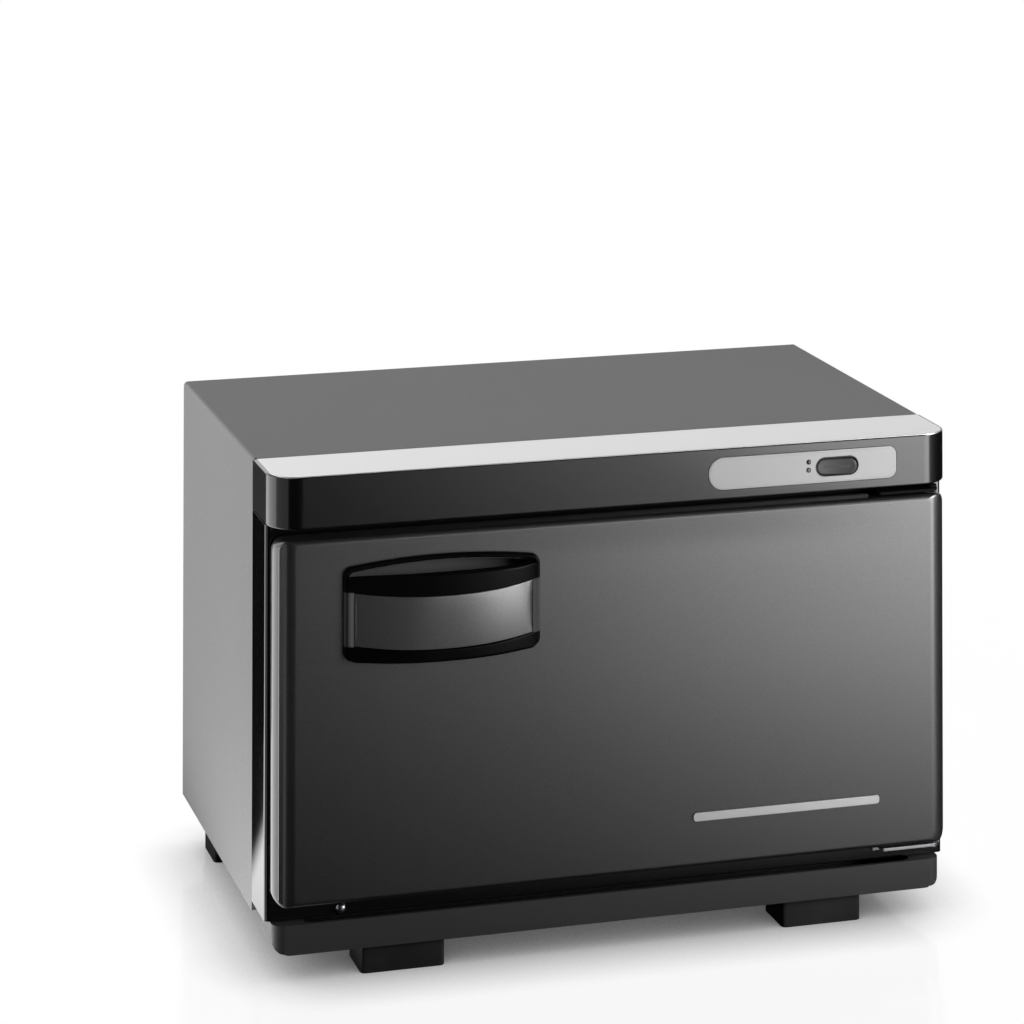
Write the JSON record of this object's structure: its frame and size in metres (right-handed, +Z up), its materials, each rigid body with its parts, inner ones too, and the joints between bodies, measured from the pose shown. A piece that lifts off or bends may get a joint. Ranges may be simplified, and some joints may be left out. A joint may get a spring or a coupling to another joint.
{
  "type": "hot towel cabinet",
  "caption": "Bench-top heated towel cabinet: grey steel case, dark gloss side-hinged door with a bulged pull, control head with rocker switch, slide-out drip tray.",
  "frame": {"origin": "centre of the bounding box's underside, on the table the feet stand on", "axes": "+Z up, +X to the right of someone facing the door, +Y to the rear; the door faces -Y"},
  "size_m": [0.45, 0.3252, 0.313],
  "materials": {
    "steel_grey": "fine-textured grey enamel on folded sheet steel",
    "gloss_black": "high-gloss moulded black",
    "door_gloss": "high-gloss dark moulded skin",
    "smoked_insert": "smoked gloss insert",
    "silver_trim": "satin silver strip",
    "silver_plate": "satin silver-grey plate",
    "button_grey": "fine-grained dark moulding",
    "lamp_dark": "tinted lamp lens, unlit",
    "lamp_grey": "tinted lamp lens, unlit",
    "black_steel": "black powder coat",
    "zinc": "bright zinc plate",
    "aluminium": "rolled sheet",
    "stainless": "polished wire",
    "liner_white": "moulded off-white",
    "wool": "glass wool blanket",
    "foam": "insulating foam slab",
    "rubber": "matt black rubber",
    "silicone": "dark silicone",
    "board_green": "circuit board",
    "phenolic": "moulded switchgear",
    "cord_black": "flexible sheath",
    "magnet_case": "moulded case"
  },
  "bodies": {
    "cabinet": {"outer_shell": "steel_grey", "rear_panel": "steel_grey", "base_pan": "black_steel", "front_frame": "gloss_black", "control_head": "gloss_black", "head_trim": "silver_trim", "control_plate": "silver_plate", "switch_body": "phenolic", "lamp_heat": "lamp_dark", "lamp_power": "lamp_grey", "indicator_board": "board_green", "chamber_wrap": "aluminium", "chamber_back": "aluminium", "rack_rail_left": "aluminium", "rack_rail_right": "aluminium", "wire_rack": "stainless", "heater_plate": "aluminium", "heating_element": "stainless", "thermostat": "phenolic", "thermal_cutout": "zinc", "insulation_top": "wool", "insulation_left": "wool", "insulation_right": "wool", "insulation_back": "wool", "insulation_floor": "wool", "terminal_block": "phenolic", "wiring_loom": "cord_black", "cord_bush": "rubber", "power_cord": "cord_black", "mains_plug": "rubber", "plug_pin_live": "zinc", "plug_pin_earth": "zinc", "plug_pin_neutral": "zinc", "foot_front_left": "rubber", "foot_front_right": "rubber", "foot_rear_left": "rubber", "foot_rear_right": "rubber", "catch_magnet": "magnet_case", "hinge_bracket_bottom": "zinc", "hinge_pin_bottom": "zinc", "hinge_bracket_top": "black_steel", "hinge_pin_top": "zinc", "frame_screw": "zinc"},
    "door": {"door_shell": "door_gloss", "hinge_bush_bottom": "liner_white", "hinge_bush_top": "liner_white", "door_liner": "liner_white", "door_insulation": "foam", "door_gasket": "silicone", "catch_striker": "zinc", "handle_bezel": "gloss_black", "handle_cup": "gloss_black", "handle_pull": "gloss_black", "handle_insert": "smoked_insert", "door_badge": "silver_trim"},
    "rocker": {"rocker_button": "button_grey"},
    "tray": {"drip_tray": "gloss_black"}
  },
  "joints": [
    {"name": "door_hinge", "type": "hinge", "parent": "cabinet", "child": "door", "pos_m": [0.2135, -0.14, 0.1623], "axis": [0, 0, 1], "range_deg": [0, 110]},
    {"name": "rocker_tilt", "type": "hinge", "parent": "cabinet", "child": "rocker", "pos_m": [0.1453, -0.142, 0.2965], "axis": [0, 0, 1], "range_deg": [0, 12]},
    {"name": "tray_slide", "type": "slide", "parent": "cabinet", "child": "tray", "axis": [0, -1, 0], "range_m": [0, 0.05]}
  ]
}
